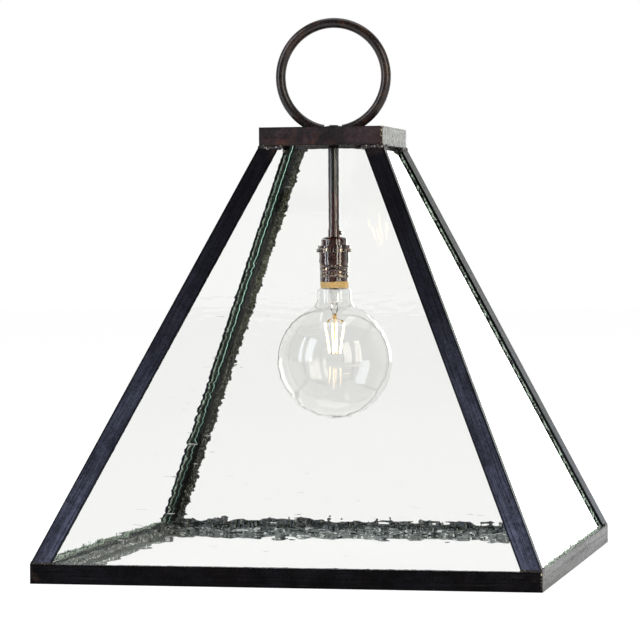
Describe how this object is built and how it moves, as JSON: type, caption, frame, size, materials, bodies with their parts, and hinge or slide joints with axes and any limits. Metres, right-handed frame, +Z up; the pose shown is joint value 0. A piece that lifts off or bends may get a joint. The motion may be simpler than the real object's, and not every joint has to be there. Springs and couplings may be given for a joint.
{
  "type": "pendant light",
  "caption": "Square pyramid lantern pendant in dark steel and clear glass, open below, with a hanging ring and a large globe filament lamp.",
  "frame": {"origin": "centre of the open base, on the underside of the base bars", "axes": "+Z up through the hanging ring, -Y the front face, +X to the right seen from the front; the ring lies in the XZ plane"},
  "size_m": [0.53, 0.53, 0.5925],
  "materials": {
    "frame_steel": "dark patinated and waxed mild steel, satin",
    "cap_steel": "patinated steel with brown-purple bloom and ground welds",
    "ring_steel": "blackened steel with a brown cast, waxed",
    "pane_glass": "clear seeded float glass with green edges",
    "globe_glass": "clear blown glass, lightly smoked",
    "glazing_sealant": "dark glazing sealant",
    "pane_tab_steel": "bent strip",
    "plated_fittings": "dulled plated steel",
    "bronzed_brass": "dark bronzed, satin",
    "bare_brass": "bare stamped brass",
    "bush_plastic": "black moulded bush",
    "sleeve_fibre": "varnished fibre",
    "holder_ceramic": "moulded ceramic body",
    "lamp_cap_metal": "rolled brass-plated cap",
    "lamp_black_glass": "black glass insulator",
    "solder": "solder button",
    "filament": "phosphor-coated rods",
    "support_wire": "drawn wire"
  },
  "bodies": {
    "root": {"base_bar_right": "frame_steel", "cap_band_right": "cap_steel", "glass_pane_right": "pane_glass", "base_bar_back": "frame_steel", "cap_band_back": "cap_steel", "glass_pane_back": "pane_glass", "base_bar_left": "frame_steel", "cap_band_left": "cap_steel", "glass_pane_left": "pane_glass", "base_bar_front": "frame_steel", "cap_band_front": "cap_steel", "glass_pane_front": "pane_glass", "corner_post_back_right": "frame_steel", "corner_post_back_left": "frame_steel", "corner_post_front_left": "frame_steel", "corner_post_front_right": "frame_steel", "glazing_beads": "glazing_sealant", "pane_tabs": "pane_tab_steel", "cap_plate": "cap_steel", "ring": "ring_steel", "threaded_nipple": "plated_fittings", "top_lock_nut": "plated_fittings", "cord_bush": "bush_plastic", "lock_washer": "plated_fittings", "stem": "bronzed_brass", "joint_nipple": "plated_fittings", "socket_cap": "bronzed_brass", "set_screw": "plated_fittings", "socket_shell": "bronzed_brass", "insulating_sleeve": "sleeve_fibre", "holder_block": "holder_ceramic", "screw_shell": "bare_brass", "centre_contact": "bare_brass", "terminal_screws": "plated_fittings"},
    "shade_ring": {"shade_ring": "bronzed_brass"},
    "bulb_carrier": {"bulb_insulator": "lamp_black_glass", "bulb_tip_contact": "solder"},
    "bulb": {"bulb_screw_base": "lamp_cap_metal", "bulb_globe": "globe_glass", "bulb_stem": "globe_glass", "bulb_filaments": "filament", "bulb_wires": "support_wire"}
  },
  "joints": [
    {"name": "shade_ring_slide", "type": "slide", "parent": "root", "child": "shade_ring", "axis": [0, 0, 1], "range_m": [-0.038, 0]},
    {"name": "bulb_travel", "type": "slide", "parent": "root", "child": "bulb_carrier", "axis": [0, 0, 1], "range_m": [-0.01992, 0]},
    {"name": "bulb_turn", "type": "hinge", "parent": "bulb_carrier", "child": "bulb", "pos_m": [0, 0, 0.3115], "axis": [0, 0, 1], "range_deg": [-1980, 0]}
  ],
  "couplings": [
    {"joint": "bulb_travel", "follows": "bulb_turn", "m_per_rad": 0.00057614}
  ]
}
